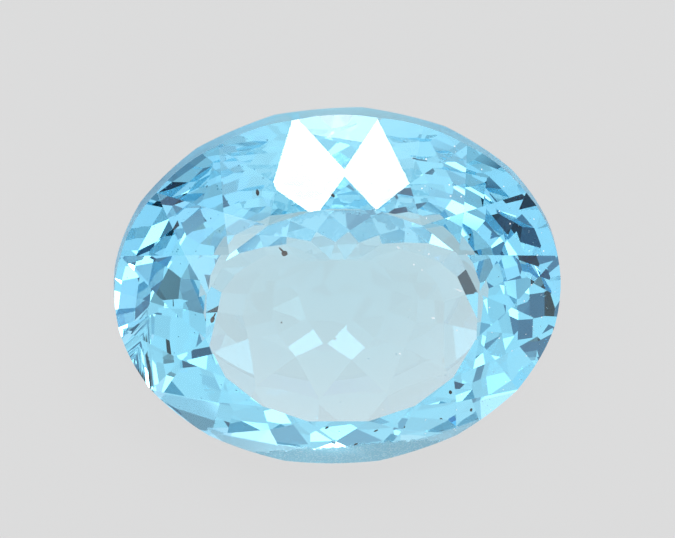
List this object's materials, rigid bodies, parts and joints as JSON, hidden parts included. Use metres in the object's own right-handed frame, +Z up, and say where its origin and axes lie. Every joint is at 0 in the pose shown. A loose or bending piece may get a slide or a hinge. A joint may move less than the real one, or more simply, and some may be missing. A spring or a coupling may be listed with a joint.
{
  "type": "cut topaz gemstone",
  "caption": "Loose oval brilliant-cut topaz, clear sky blue, with a broad table, kite-faceted crown, frosted girdle and lattice-cut pavilion.",
  "frame": {"origin": "centre of the stone's footprint, on the ground it lies on", "axes": "+Z up, +X along the long axis of the oval, -Y towards the side that the table leans to"},
  "size_m": [0.015, 0.0116, 0.0087],
  "materials": {
    "topaz": "polished"
  },
  "bodies": {
    "root": {"topaz": "topaz"}
  },
  "joints": []
}
